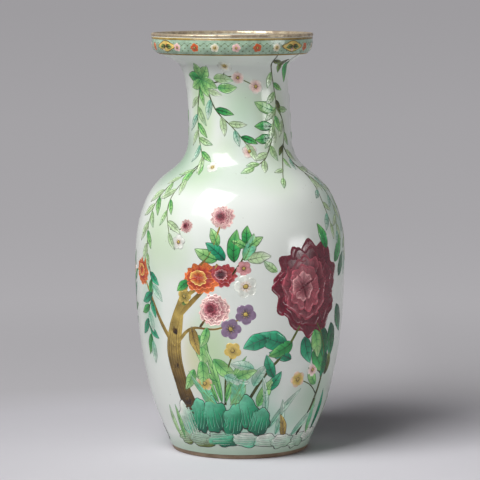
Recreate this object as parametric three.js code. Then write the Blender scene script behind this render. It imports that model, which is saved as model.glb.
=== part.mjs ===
// A baluster vase of glazed porcelain, as the potter puts it together: a foot ring, a lower body,
// an upper body with the shoulder, and a neck with its flared mouth, each thrown by itself, luted
// together with slip and closed at the top by a dressed lip.
// Millimetres, +Z up, origin at the centre of the foot's underside.
import * as THREE from "three";

// The outline, from the foot up: how far each station stands above the one below it.
const footRise = 10;
const lowerFlankRise = 50;
const bellyRise = 137;
const highShoulderRise = 48;
const shoulderRise = 43;
const neckBaseRise = 32;
const neckRise = 34;
const neckTopRise = 43;
const dishRise = 15;
const mouthRise = 14.5;

// The outer radius at each station. The foot stands inside its own top, and the high shoulder
// inside the belly.
const footInset = 3.5;
const footTopRadius = 74.5;
const footRadius = footTopRadius - footInset;
const lowerFlankRadius = 93.5;
const bellyRadius = 108.6;
const highShoulderInset = 6.1;
const highShoulderRadius = bellyRadius - highShoulderInset;
const shoulderRadius = 72.7;
const neckBaseRadius = 53.8;
const neckRadius = 52.8;
const neckTopRadius = 57;
const dishRadius = 80.5;
const mouthFlare = 2.5;
const mouthRadius = dishRadius + mouthFlare;

// How fast the outer radius grows with height at each station where the wall isn't upright.
const footSpread = 0.3;
const footTopSpread = 0.4;
const lowerFlankSpread = 0.27;
const highShoulderSpread = -0.33;
const shoulderSpread = -1.4;
const neckBaseSpread = -0.06;
const neckTopSpread = 0.35;
const dishSpread = 0.7;
const mouthSpread = 0.1;

// The mouth has sagged a little towards -X, away from the foot's axis.
const mouthSag = 8;

// Walls, measured square to the surface.
const wallAtFoot = 8.5;
const wallAtLip = 4.6;
const floorThickness = 9;
const innerCornerRadius = 14;

// The foot ring's bearing edge, and the lip that closes the mouth.
const footBearingWidth = 8;
const footBevel = 1.6;
const footInnerTaper = 2.4;
const lipHeight = 3.5;
const lipBulge = 0.8;

// The slip in a luted joint, and how far it is squeezed out inside.
const slipThickness = 1.2;
const slipBead = 1.4;

const segments = 48;

const stations = [
  { rise: 0, radius: footRadius, spread: footSpread, steps: 0 },
  { rise: footRise, radius: footTopRadius, spread: footTopSpread, steps: 2 },
  { rise: lowerFlankRise, radius: lowerFlankRadius, spread: lowerFlankSpread, steps: 4 },
  { rise: bellyRise, radius: bellyRadius, spread: 0, steps: 6 },
  { rise: highShoulderRise, radius: highShoulderRadius, spread: highShoulderSpread, steps: 4 },
  { rise: shoulderRise, radius: shoulderRadius, spread: shoulderSpread, steps: 5 },
  { rise: neckBaseRise, radius: neckBaseRadius, spread: neckBaseSpread, steps: 5 },
  { rise: neckRise, radius: neckRadius, spread: 0, steps: 2 },
  { rise: neckTopRise, radius: neckTopRadius, spread: neckTopSpread, steps: 3 },
  { rise: dishRise, radius: dishRadius, spread: dishSpread, steps: 4 },
  { rise: mouthRise, radius: mouthRadius, spread: mouthSpread, steps: 2 },
];

// Each station's height above the foot's underside is the sum of the rises up to it.
let climbed = 0;
for (const station of stations) {
  climbed += station.rise;
  station.height = climbed;
}
const [, footTop, , belly, , , neckBase, , , dish, mouth] = stations;

// The outer wall between two stations is a cubic that meets both at their radius and spread.
function outerWall(height) {
  const last = stations.length - 1;
  let i = 1;
  while (i < last && height > stations[i].height) i += 1;
  const low = stations[i - 1];
  const high = stations[i];
  const t = (height - low.height) / high.rise;
  const radius =
    low.radius * (1 + t * t * (2 * t - 3)) +
    high.radius * t * t * (3 - 2 * t) +
    high.rise * t * (1 - t) * (low.spread * (1 - t) - high.spread * t);
  const spread =
    ((high.radius - low.radius) * 6 * t * (1 - t)) / high.rise +
    low.spread * (1 - t) * (1 - 3 * t) +
    high.spread * t * (3 * t - 2);
  return { radius, spread };
}

const outerRadius = (height) => outerWall(height).radius;

// The inner wall lies the wall's thickness inside the outer one, square to it.
function innerRadius(height) {
  const { radius, spread } = outerWall(height);
  const wall = THREE.MathUtils.mapLinear(height, 0, mouth.height, wallAtFoot, wallAtLip);
  return radius - wall * Math.hypot(1, spread);
}

// How far the vase's axis lies off centre at a height: the sag grows from the neck's base to the dish.
function sagAt(height) {
  const t = (height - neckBase.height) / (dish.height - neckBase.height);
  return mouthSag * THREE.MathUtils.clamp(t, 0, 1) ** 2;
}

// The heights at which the wall is drawn between two heights, both included.
function wallHeights(from, to) {
  const heights = [from];
  for (const { rise, height, steps } of stations)
    for (let k = 1; k <= steps; k += 1) {
      const next = height - rise + (rise * k) / steps;
      if (next > from + slipThickness && next < to - slipThickness) heights.push(next);
    }
  heights.push(to);
  return heights;
}

const point = (radius, height) => new THREE.Vector2(radius, height);
const outerPoints = (heights) => heights.map((h) => point(outerRadius(h), h));
const innerPoints = (heights) => heights.map((h) => point(innerRadius(h), h));

// Turns an outline, drawn from the outside up and back down the inside, round the vase's axis.
function turned(name, outline, material) {
  const geometry = new THREE.LatheGeometry(outline, segments);
  geometry.rotateX(Math.PI / 2);
  const { position } = geometry.attributes;
  for (let i = 0; i < position.count; i += 1)
    position.setX(i, position.getX(i) - sagAt(position.getZ(i)));
  const mesh = new THREE.Mesh(geometry, material);
  mesh.name = name;
  return mesh;
}

// A thrown ring of clay between two heights, open at both ends.
function thrownSection(name, from, to, material) {
  const heights = wallHeights(from, to);
  const outline = [...outerPoints(heights), ...innerPoints(heights).reverse()];
  return turned(name, [...outline, outline[0]], material);
}

// The lower body is closed below by its floor, which meets the wall in a rounded corner.
function lowerBody(from, to, material) {
  const floorTop = from + floorThickness;
  const cornerTop = floorTop + innerCornerRadius;
  const cornerSteps = 4;
  const wall = innerPoints(wallHeights(cornerTop, to)).reverse();
  const cornerOutside = innerRadius(cornerTop);
  const corner = [];
  for (let k = 1; k <= cornerSteps; k += 1) {
    const angle = (Math.PI / 2) * (k / cornerSteps);
    corner.push(
      point(
        cornerOutside - innerCornerRadius * (1 - Math.cos(angle)),
        cornerTop - innerCornerRadius * Math.sin(angle),
      ),
    );
  }
  const outline = [
    point(0, from),
    ...outerPoints(wallHeights(from, to)),
    ...wall,
    ...corner,
    point(0, floorTop),
  ];
  return turned("lower_body", outline, material);
}

// The foot ring stands on a flat bearing edge with a bevel on either side of it.
function footRing(to, material) {
  const bearingOutside = footRadius - footBevel;
  const bearingInside = bearingOutside - footBearingWidth;
  const outline = [
    point(bearingInside, 0),
    point(bearingOutside, 0),
    ...outerPoints(wallHeights(footBevel, to)),
    point(bearingInside - footBevel - footInnerTaper, to),
    point(bearingInside - footBevel, footBevel),
  ];
  return turned("foot_ring", [...outline, outline[0]], material);
}

// Slip fills a joint from face to face and stands out inside as a rounded bead.
function lutedJoint(name, height, innerAt, material) {
  const low = height - slipThickness / 2;
  const high = height + slipThickness / 2;
  const beadSteps = 4;
  const bead = [];
  for (let k = 0; k <= beadSteps; k += 1) {
    const angle = Math.PI * (k / beadSteps);
    const along = (high + low) / 2 + (slipThickness / 2) * Math.cos(angle);
    bead.push(point(innerAt(along) - slipBead * Math.sin(angle), along));
  }
  const outline = [...outerPoints([low, high]), ...bead];
  return turned(name, [...outline, outline[0]], material);
}

// The lip is a rounded ring on the mouth's upper edge.
function dressedLip(material) {
  const outside = outerRadius(mouth.height);
  const inside = innerRadius(mouth.height);
  const middle = (outside + inside) / 2;
  const half = (outside - inside) / 2;
  const lipSteps = 8;
  const outline = [];
  for (let k = 0; k <= lipSteps; k += 1) {
    const angle = Math.PI * (k / lipSteps);
    const bulge = lipBulge * Math.sin(2 * Math.min(angle, Math.PI / 2));
    outline.push(
      point(middle + half * Math.cos(angle) + bulge, mouth.height + lipHeight * Math.sin(angle)),
    );
  }
  return turned("lip_dressing", [...outline, outline[0]], material);
}

const material = (color, roughness, metalness = 0) =>
  new THREE.MeshStandardMaterial({ color, roughness, metalness });
const glazedPorcelain = material(0xe6ece0, 0.15);
const bareFoot = material(0xcbbfa9, 0.8);
const firedSlip = material(0xd9d5c8, 0.6);
const brownGilt = material(0x9b7a45, 0.35, 0.4);

const halfSlip = slipThickness / 2;
const footInside = footRadius - 2 * footBevel - footBearingWidth - footInnerTaper;

const vase = new THREE.Group();
vase.add(
  footRing(footTop.height - halfSlip, bareFoot),
  lutedJoint("foot_joint_slip", footTop.height, () => footInside, firedSlip),
  lowerBody(footTop.height + halfSlip, belly.height - halfSlip, glazedPorcelain),
  lutedJoint("belly_joint_slip", belly.height, innerRadius, firedSlip),
  thrownSection("upper_body", belly.height + halfSlip, neckBase.height - halfSlip, glazedPorcelain),
  lutedJoint("neck_joint_slip", neckBase.height, innerRadius, firedSlip),
  thrownSection("neck_and_mouth", neckBase.height + halfSlip, mouth.height, glazedPorcelain),
  dressedLip(brownGilt),
);

export default vase;
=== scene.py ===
"""The looks of a porcelain baluster vase, painted in overglaze enamels.

The glazed walls, the bare foot and the dressed lip are turned from the same outline as the CAD
sections. Every flower, leaf, branch and rock is a thin raised patch of enamel, laid on the glaze by
its angle round the vase and its height. Lengths on the vase are millimetres until a mesh is made,
and the stage is in metres.
"""

import math
import random

import bmesh
import bpy
import numpy as np
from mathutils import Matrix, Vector


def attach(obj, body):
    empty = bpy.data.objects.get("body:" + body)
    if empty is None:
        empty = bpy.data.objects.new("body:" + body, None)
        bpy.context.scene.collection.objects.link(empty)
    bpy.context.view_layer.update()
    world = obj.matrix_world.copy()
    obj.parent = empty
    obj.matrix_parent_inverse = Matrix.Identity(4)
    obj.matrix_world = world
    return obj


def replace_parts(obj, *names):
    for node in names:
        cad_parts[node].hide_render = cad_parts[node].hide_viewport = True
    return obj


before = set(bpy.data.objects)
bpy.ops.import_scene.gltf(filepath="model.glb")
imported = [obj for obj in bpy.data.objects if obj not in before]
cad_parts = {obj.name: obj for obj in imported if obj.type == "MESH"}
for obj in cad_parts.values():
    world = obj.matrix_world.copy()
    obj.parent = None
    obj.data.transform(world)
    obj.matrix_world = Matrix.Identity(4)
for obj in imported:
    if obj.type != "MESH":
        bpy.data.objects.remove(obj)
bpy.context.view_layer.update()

MM = 0.001
TAU = 2 * math.pi

# The outline: rise above the station below, outer radius and spread, as in the CAD source.
STATIONS = (
    (0, 71, 0.3),
    (10, 74.5, 0.4),
    (50, 93.5, 0.27),
    (137, 108.6, 0),
    (48, 102.5, -0.33),
    (43, 72.7, -1.4),
    (32, 53.8, -0.06),
    (34, 52.8, 0),
    (43, 57, 0.35),
    (15, 80.5, 0.7),
    (14.5, 83, 0.1),
)
RISES, RADII, SPREADS = (np.array(column, float) for column in zip(*STATIONS))
HEIGHTS = np.cumsum(RISES)
FOOT_TOP, BELLY, NECK_BASE, DISH, MOUTH = HEIGHTS[[1, 3, 6, 9, 10]]
MOUTH_SAG = 8
WALL_AT_FOOT, WALL_AT_LIP = 8.5, 4.6
FLOOR_THICKNESS = 9
INNER_CORNER = 14
BEARING_WIDTH = 8
FOOT_BEVEL = 1.6
FOOT_TAPER = 2.4
LIP_HEIGHT = 3.5
LIP_BULGE = 0.8
LIP_ROOM = 0.1
SLIP_BEAD = 1.4
SLIP_BEAD_HALF_HEIGHT = 1.1
SLIP_THICKNESS = 1.2

# Where the lower body sits on the foot ring.
SEAT = FOOT_TOP + SLIP_THICKNESS / 2

# The glaze lies this far inside the CAD wall, which leaves room for the enamels on top of it.
GLAZE_INSET = 0.5
# The glaze ends this high above the ground, in a rolled edge.
GLAZE_EDGE = 5
# How finely the turned pieces are cut: faces round the vase, and millimetres up the wall.
SEGMENTS = 180
ROW = 2


def outline(z):
    """The CAD wall's outer radius and its spread at each height."""
    z = np.asarray(z, float)
    i = np.clip(np.searchsorted(HEIGHTS, z), 1, len(HEIGHTS) - 1)
    rise = RISES[i]
    t = (z - HEIGHTS[i - 1]) / rise
    r0, r1, s0, s1 = RADII[i - 1], RADII[i], SPREADS[i - 1], SPREADS[i]
    radius = (
        r0 * (1 + t * t * (2 * t - 3))
        + r1 * t * t * (3 - 2 * t)
        + rise * t * (1 - t) * (s0 * (1 - t) - s1 * t)
    )
    spread = (
        (r1 - r0) * 6 * t * (1 - t) / rise
        + s0 * (1 - t) * (1 - 3 * t)
        + s1 * t * (3 * t - 2)
    )
    return radius, spread


def outer_radius(z):
    """The glaze's radius outside."""
    return outline(z)[0] - GLAZE_INSET


def inner_radius(z):
    """The glaze's radius inside."""
    radius, spread = outline(z)
    square = WALL_AT_FOOT + (WALL_AT_LIP - WALL_AT_FOOT) * np.asarray(z, float) / MOUTH
    return radius - square * np.hypot(1, spread) + GLAZE_INSET


def sag(z):
    t = np.clip((np.asarray(z, float) - NECK_BASE) / (DISH - NECK_BASE), 0, 1)
    return MOUTH_SAG * t * t


def unevenness(angle, z):
    """The potter's hand: soft throwing rings, and a wall that isn't quite round."""
    rings = 0.05 * np.sin(z / 2.7 + 1.3 * np.sin(z / 31)) * np.sin(z / 47 + 0.6)
    return rings + 0.1 * np.sin(2 * angle + z / 90) * np.sin(z / 60)


def on_glaze(angle, z, lift=0.0):
    """Points in metres at an angle from the front, a height, and a lift square to the glaze."""
    angle, z, lift = np.broadcast_arrays(angle, z, lift)
    radius, spread = outline(z)
    slope = np.hypot(1, spread)
    r = radius - GLAZE_INSET + unevenness(angle, z) + lift / slope
    points = [r * np.sin(angle) - sag(z), -r * np.cos(angle), z - lift * spread / slope]
    return np.stack(points, -1) * MM


# Distance along the wall from the foot, so that a painted shape keeps its size on the shoulder.
TABLE_STEP = 0.25
TABLE_Z = np.linspace(0, MOUTH, round(MOUTH / TABLE_STEP) + 1)
TABLE_S = np.append(0, np.cumsum(np.hypot(np.diff(TABLE_Z), np.diff(outline(TABLE_Z)[0]))))


def wall_distance(z):
    return np.interp(z, TABLE_Z, TABLE_S)


def wall_height(s):
    return np.interp(s, TABLE_S, TABLE_Z)


# Paints

GLAZE_WHITE = (0.8, 0.835, 0.785)


def srgb(text):
    """The linear (r, g, b) of a colour written as rrggbb."""
    c = np.array([int(text[i : i + 2], 16) / 255 for i in (0, 2, 4)])
    return np.where(c <= 0.04045, c / 12.92, ((c + 0.055) / 1.055) ** 2.4)


PAINT = {
    name: srgb(text)
    for name, text in {
        "crimson deep": "47101d", "crimson": "6f1f30", "rose": "a8505c", "pink": "d99a9c",
        "blush": "f0d2c8", "orange": "d97238", "red": "b4352a", "teal deep": "0e5a46", "teal": "22a071",
        "turquoise": "6fcaa4", "green deep": "1c6a35", "green": "3cab5b", "lime": "96cf7c",
        "pale green": "bedaa8", "celadon": "b6d3bf", "sage": "a2bda4", "olive": "65702c",
        "olive deep": "2a300f", "ochre": "b39a52", "yellow": "dcc068", "brown": "775d2a",
        "bark deep": "3d2811", "mauve": "8f7893", "aubergine": "4c3a48", "ink": "221a17",
        "gilt": "a98139", "white": "e8ebe1",
    }.items()
}


def tints(names, x):
    """Colours along a list of named paints, for x from 0 to 1."""
    stops = np.array([PAINT[name] for name in names])
    at = np.linspace(0, 1, len(stops))
    return np.stack([np.interp(x, at, stops[:, k]) for k in range(3)], -1)


BARK = ("bark deep", "brown", "ochre", "ochre")
LIMB = ("ochre", "brown", "ochre")
STEM = ("olive deep", "olive")
KNOT = ("ink", "bark deep", "brown")
TEAL = ("teal deep", "teal", "turquoise")
STONE = (*TEAL, "celadon")
CHALK = ("sage", "celadon", "white")
FOREST = ("green deep", "green", "lime")
SEA = ("turquoise", "celadon", "white")
PINK = ("pink", "blush", "white")
CREAM = ("yellow", "white", "white")
BUTTER = ("ochre", "yellow", "blush")
MAUVE = ("aubergine", "mauve", "mauve")
# The runs of paint that the leaves have, by a letter.
LEAF_PAINTS = {
    "t": TEAL,
    "g": FOREST,
    "l": ("green", "lime", "pale green"),
    "p": ("lime", "pale green", "celadon"),
    "w": ("pale green", "pale green", "white"),
    "y": ("brown", "ochre", "yellow"),
    "o": ("olive deep", "olive", "lime"),
    "d": ("teal deep", "green deep", "teal"),
    "c": SEA,
    "b": ("lime", "turquoise", "pale green"),
}

# Washes in the glaze, thin colour and painted shade: angle, height, half width, half height, paint,
# strength.
WASHES_AND_PAINTED_SHADE = (
    (-46, 350, 22, 60, "pale green", 0.8), (4, 360, 34, 34, "pale green", 0.4),
    (40, 336, 26, 60, "pale green", 0.6), (-52, 226, 34, 64, "pale green", 0.55),
    (-36, 214, 24, 36, "pale green", 0.35), (-58, 150, 24, 60, "celadon", 0.8),
    (-16, 116, 34, 60, "pale green", 0.8), (74, 240, 34, 70, "celadon", 0.8),
    (2, 72, 46, 40, "turquoise", 0.4), (-28, 106, 18, 48, "yellow", 0.3),
    # Painted shade: the sage wash at 52 degrees darkens the lower right; the sage band at 4 mm is partly
    # painted contact shadow.
    (52, 62, 44, 50, "sage", 0.75), (0, 40, 80, 30, "turquoise", 0.6), (0, 4, 400, 20, "sage", 0.8),
    # Painted shade: the sage wash at -76 degrees greys the shoulder's left edge.
    (-34, 290, 28, 36, "pale green", 0.5), (-76, 298, 34, 56, "sage", 1.0),
    # Painted shade: the wide sage wash at -10 degrees tones down the lit shoulder.
    (-10, 290, 110, 38, "sage", 0.4), (4, 344, 30, 46, "turquoise", 0.2),
    # Painted shade: the sage wash at -58 greys the shoulder's left edge; the pale green one at 28 tones
    # down the lit shoulder.
    (-58, 284, 36, 34, "sage", 0.5), (28, 282, 30, 30, "pale green", 0.2),
    # Painted shade: the pale green wash at -15 degrees tones down the highlight at the neck's foot.
    (-15, 316, 18, 22, "pale green", 0.3), (170, 60, 80, 50, "celadon", 0.7),
    (-110, 90, 50, 90, "pale green", 0.5), (150, 190, 60, 60, "pale green", 0.3),
    (140, 340, 40, 50, "pale green", 0.5),
)
# How quickly a wash thins out towards its edge.
WASH_FADE = 1.5


def glaze_tint_and_shade(angle, z):
    """The glaze's colour over its white, in washes that fade out at their edges, some of them painted
    shade.
    """
    tint = np.ones((len(z), 3))
    s, radius = wall_distance(z), outline(z)[0]
    for place, height, wide, tall, paint, strength in WASHES_AND_PAINTED_SHADE:
        right = ((angle - math.radians(place) + math.pi) % TAU - math.pi) * radius
        up = s - wall_distance(height)
        away = (right / wide) ** 2 + (up / tall) ** 2
        depth = strength * np.clip(1 - away, 0, 1)[:, None] ** WASH_FADE
        tint += (PAINT[paint] / GLAZE_WHITE - tint) * depth
    return tint


# Materials


class Nodes:
    """A node tree that is built one node at a time."""

    def __init__(self, tree):
        self.tree = tree

    def node(self, kind, output, inputs=(), **values):
        """Adds a node with its settings and inputs, and gives the output that is asked for."""
        node = self.tree.nodes.new(kind)
        for key, value in values.items():
            setattr(node, key, value)
        for key, value in dict(inputs).items():
            self.put(value, node.inputs[key])
        return node.outputs[output]

    def put(self, value, socket):
        """Links a socket to another node's output, or gives it a value of its own."""
        if isinstance(value, bpy.types.NodeSocket):
            self.tree.links.new(value, socket)
        else:
            socket.default_value = (*value, 1) if socket.type == "RGBA" else value

    def math(self, operation, a, b):
        return self.node("ShaderNodeMath", "Value", {0: a, 1: b}, operation=operation)

    def mix(self, factor, a, b, blend="MIX"):
        inputs = {"Factor": factor, 6: a, 7: b}
        return self.node("ShaderNodeMix", 2, inputs, data_type="RGBA", blend_type=blend)

    def seen(self):
        """1 for the rays that show the stage itself: camera, glossy and transmission rays."""
        ray = self.tree.nodes.new("ShaderNodeLightPath").outputs
        seen = self.math("MAXIMUM", ray["Is Camera Ray"], ray["Is Glossy Ray"])
        return self.math("MAXIMUM", seen, ray["Is Transmission Ray"])


class Shader(Nodes):
    """A Principled material, with values for the shader's own sockets."""

    def __init__(self, name, **sockets):
        self.material = bpy.data.materials.new(name)
        self.material.use_nodes = True
        super().__init__(self.material.node_tree)
        self.surface = self.tree.nodes["Principled BSDF"]
        for socket, value in sockets.items():
            self.surface.inputs[socket].default_value = value

    def place(self, stretch=(1, 1, 1)):
        """The object's own coordinates in metres, after a stretch."""
        inputs = {"Vector": self.node("ShaderNodeTexCoord", "Object"), "Scale": stretch}
        return self.node("ShaderNodeMapping", "Vector", inputs)

    def distance(self, point, stretch=(1, 1, 1)):
        """Metres from a point, after a stretch."""
        inputs = {0: self.place(stretch), 1: point}
        return self.node("ShaderNodeVectorMath", "Value", inputs, operation="DISTANCE")

    def noise(self, scale, detail, roughness=0.55):
        inputs = {"Vector": self.place(), "Scale": scale, "Detail": detail, "Roughness": roughness}
        return self.node("ShaderNodeTexNoise", "Fac", inputs)

    def specks(self, scale, size):
        """A mask of round specks, 1 inside a speck."""
        inputs = {"Vector": self.place(), "Scale": scale}
        cells = self.node("ShaderNodeTexVoronoi", "Distance", inputs)
        return self.ramp(cells, size, 1, size * 1.6, 0)

    def ramp(self, value, low, at_low, high, at_high):
        """A soft step from one number to another, between two values."""
        inputs = enumerate((value, low, high, at_low, at_high))
        return self.node("ShaderNodeMapRange", "Result", inputs, interpolation_type="SMOOTHSTEP")

    def grey(self, value):
        return self.node("ShaderNodeCombineColor", "Color", {0: value, 1: value, 2: value})

    def tint(self):
        """The colour that the painter gave each point of the mesh."""
        return self.node("ShaderNodeVertexColor", "Color", layer_name="tint")

    def color(self, source):
        self.put(source, self.surface.inputs["Base Color"])

    def rough(self, scale, detail, low, at_low, high, at_high):
        """Lets the roughness wander with a noise."""
        noise = self.noise(scale, detail)
        self.put(self.ramp(noise, low, at_low, high, at_high), self.surface.inputs["Roughness"])

    def bump(self, height, distance, strength):
        """Bumps of a height in millimetres."""
        inputs = {"Height": height, "Distance": distance * MM, "Strength": strength}
        self.put(self.node("ShaderNodeBump", "Normal", inputs), self.surface.inputs["Normal"])


def glaze_material():
    """White porcelain under a clear glaze: washes and painted shade, faint pooling, orange peel and iron
    specks.
    """
    s = Shader("clear_glaze", IOR=1.5)
    pooling = s.ramp(s.noise(9, 2), 0.35, 0, 0.7, 1)
    body = s.mix(pooling, GLAZE_WHITE, (0.735, 0.785, 0.725))
    # The tint carries the washes, some of which are painted shade.
    body = s.mix(1.0, body, s.tint(), "MULTIPLY")
    specks = s.specks(170, 0.045)
    rare = s.ramp(s.noise(60, 1), 0.56, 0, 0.6, 0.75)
    s.color(s.mix(s.math("MULTIPLY", specks, rare), body, (0.2, 0.14, 0.09)))
    s.rough(30, 4, 0.3, 0.09, 0.75, 0.2)
    s.bump(s.noise(420, 2), 0.02, 0.5)
    return s.material


def enamel_material(name, low_rough, high_rough, pooling=0.25):
    """Enamel that takes its colour from the painter's tint, pools in places and stands proud."""
    s = Shader(name, IOR=1.52)
    wash = s.ramp(s.noise(130, 4, 0.6), 0.3, 1 - pooling, 0.72, 1 + pooling * 0.6)
    s.color(s.mix(1.0, s.tint(), s.grey(wash), "MULTIPLY"))
    s.rough(90, 3, 0.3, low_rough, 0.7, high_rough)
    s.bump(s.noise(380, 3), 0.06, 0.6)
    return s.material


def biscuit_and_shade_material():
    """Unglazed fired clay with iron blush and grit, its dark brown partly painted contact shadow at the
    foot.
    """
    s = Shader("bare_biscuit_and_shade", Roughness=0.85)
    # The two browns are darker than the clay alone: partly painted contact shadow at the foot.
    base = s.mix(s.ramp(s.noise(40, 5), 0.35, 0, 0.65, 1), (0.3, 0.22, 0.15), (0.2, 0.13, 0.08))
    s.color(s.mix(s.specks(420, 0.12), base, (0.2, 0.14, 0.1)))
    s.rough(120, 3, 0.3, 0.7, 0.7, 0.95)
    s.bump(s.noise(900, 5, 0.7), 0.15, 0.8)
    return s.material


def lip_material():
    """Brown dressing under rubbed gilding."""
    s = Shader("lip_brown_and_gilt")
    rubbed = s.ramp(s.noise(110, 5, 0.65), 0.42, 1, 0.6, 0)
    s.color(s.mix(rubbed, (0.28, 0.21, 0.14), (0.57, 0.48, 0.33)))
    s.put(s.math("MULTIPLY", rubbed, 0.75), s.surface.inputs["Metallic"])
    s.rough(160, 3, 0.3, 0.28, 0.7, 0.5)
    s.bump(s.noise(500, 3), 0.05, 0.6)
    return s.material


def slip_material():
    """Fired slip: matt, pale and uneven."""
    s = Shader("fired_slip")
    s.color(s.mix(s.noise(60, 4), (0.70, 0.67, 0.6), (0.6, 0.56, 0.47)))
    s.rough(90, 3, 0.3, 0.45, 0.7, 0.7)
    s.bump(s.noise(600, 3), 0.08, 0.7)
    return s.material


# Turned pieces

# Points of a turned mesh this near the CAD's outer wall are on its outer side.
OUTER_SKIN = 2


def add_mesh(name, verts, faces, material):
    mesh = bpy.data.meshes.new(name)
    mesh.from_pydata(np.asarray(verts, float).tolist(), [], faces)
    mesh.materials.append(material)
    thing = bpy.data.objects.new(name, mesh)
    bpy.context.scene.collection.objects.link(thing)
    return thing


def make_piece(name, verts, faces, material, slot):
    piece = add_mesh(name, verts, faces, material)
    piece.data.polygons.foreach_set("use_smooth", [True] * len(faces))
    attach(piece, "root")
    return piece


def add_tint(mesh, colors):
    """Gives each point of a mesh its (r, g, b) as the colour attribute that the paints read."""
    rgba = np.ones((len(colors), 4), np.float32)
    rgba[:, :3] = colors
    tint = mesh.color_attributes.new("tint", "FLOAT_COLOR", "POINT")
    tint.data.foreach_set("color", rgba.ravel())


def paint_washes_and_shade(mesh):
    """Gives a turned mesh its washes and painted shade, on the outer side of the wall alone."""
    points = np.zeros(len(mesh.vertices) * 3, np.float32)
    mesh.vertices.foreach_get("co", points)
    x, y, z = points.reshape(-1, 3).T / MM
    x = x + sag(z)
    outer = np.hypot(x, y) > outline(z)[0] - OUTER_SKIN
    add_tint(mesh, np.where(outer[:, None], glaze_tint_and_shade(np.arctan2(x, -y), z), 1))


def turn(name, points, normals, material, slot):
    """Turns an outline of (radius, height) points, with a given normal at each point.

    A corner is two points in one place, so that each side keeps its own normal. A radius of 0
    is on the axis.
    """
    points, normals = np.array(points, float), np.array(normals, float)
    angles = np.linspace(0, TAU, SEGMENTS, endpoint=False)
    r, z = points[:, :1], points[:, 1:]
    uneven = np.where(r > 1, unevenness(angles, z), 0)
    sin, cos = np.sin(angles), np.cos(angles)
    rim = np.stack([(r + uneven) * sin - sag(z), -(r + uneven) * cos, z + 0 * angles], -1)
    verts = rim.reshape(-1, 3) * MM
    out = np.stack([normals[:, :1] * sin, -normals[:, :1] * cos, normals[:, 1:] + 0 * angles], -1)
    faces = grid_faces(len(points), SEGMENTS, closed=True)
    piece = make_piece(name, verts, faces.tolist(), material, slot)
    mesh = piece.data
    corners = mesh.attributes.new("out", "FLOAT_VECTOR", "CORNER")
    corners.data.foreach_set("vector", out.reshape(-1, 3)[faces].ravel())
    bm = bmesh.new()
    bm.from_mesh(mesh)
    bmesh.ops.remove_doubles(bm, verts=bm.verts, dist=1e-7)
    bmesh.ops.dissolve_degenerate(bm, edges=bm.edges, dist=1e-8)
    bm.to_mesh(mesh)
    bm.free()
    paint_washes_and_shade(mesh)
    wanted = np.zeros(len(mesh.loops) * 3, np.float32)
    mesh.attributes["out"].data.foreach_get("vector", wanted)
    mesh.normals_split_custom_set(wanted.reshape(-1, 3).tolist())
    mesh.attributes.remove(mesh.attributes["out"])
    return piece


def grid_faces(rows, columns, closed=False):
    """The faces of a grid of points, row by row. A closed one goes on from its end to its start."""
    i, j = np.meshgrid(np.arange(rows - 1), np.arange(columns - 1 + closed), indexing="ij")
    low, high, k = i * columns, (i + 1) * columns, (j + 1) % columns
    return np.stack([low + j, low + k, high + k, high + j], -1).reshape(-1, 4)


def heights_between(start, end):
    """Heights along the wall, both ends included."""
    return np.linspace(start, end, max(3, round(abs(end - start) / ROW) + 1))


def outside(low, high):
    """Points and outward normals up the glaze between two heights."""
    z = heights_between(low, high)
    spread = outline(z)[1]
    slope = np.hypot(1, spread)
    return np.stack([outer_radius(z), z], -1), np.stack([1 / slope, -spread / slope], -1)


def inside(high, low):
    """Points and normals down the inside of the wall, which is glazed too."""
    z = heights_between(high, low)
    return smooth_run(np.stack([inner_radius(z), z], -1))


def section(name, runs, material, slot, closed=True):
    """Joins runs of points into one outline, closes it where its ends don't meet, and turns it."""
    if closed:
        runs = [*runs, (runs[0][0][:1], runs[0][1][:1])]
    points, normals = (np.concatenate(part) for part in zip(*runs))
    return turn(name, points, normals, material, slot)


def arc(centre, radii, start, end, steps):
    """Points and normals on an ellipse arc, angles in degrees from the outward direction."""
    a = np.radians(np.linspace(start, end, steps))
    across = np.stack([np.cos(a), np.sin(a)], -1)
    return centre + radii * across, unit(across / radii)


def unit(vectors):
    """The same directions with a length of 1."""
    return vectors / np.maximum(np.linalg.norm(vectors, axis=1, keepdims=True), 1e-9)


def square_to(points):
    """Directions square to a run of points, to the right of the way it goes."""
    step = np.gradient(points, axis=0)
    return unit(np.stack([step[:, 1], -step[:, 0]], -1))


def smooth_run(points):
    """A run of points whose normals are square to it."""
    points = np.array(points, float)
    return points, square_to(points)


def level(r_from, r_to, z):
    """A flat run across the wall, facing down when it goes outwards and up when it goes inwards."""
    return smooth_run([(r_from, z), (r_to, z)])


def lower_section(glaze):
    """The lower body: glazed base, a rolled glaze edge on the foot, the flank and the floor."""
    skin = 0.65
    heights = np.linspace(SEAT, GLAZE_EDGE, 5)
    under = np.stack([outer_radius(heights) - skin, heights], -1)
    edge_centre = outer_radius(GLAZE_EDGE) - skin / 2
    roll = arc((edge_centre, GLAZE_EDGE), (skin / 2, skin / 2), 180, 360, 7)
    floor_top = SEAT + FLOOR_THICKNESS
    corner_top = floor_top + INNER_CORNER
    corner_radius = inner_radius(corner_top) - INNER_CORNER
    corner, away = arc((corner_radius, corner_top), (INNER_CORNER, INNER_CORNER), 0, -90, 12)
    runs = [
        level(0, under[0, 0], SEAT),
        smooth_run(under),
        roll,
        outside(GLAZE_EDGE, BELLY),
        level(outer_radius(BELLY), inner_radius(BELLY), BELLY),
        inside(BELLY, corner_top),
        (corner, -away),
        level(corner_radius, 0, floor_top),
    ]
    return section("lower_body_glazed", runs, glaze, "glazed_porcelain", closed=False)


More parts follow.
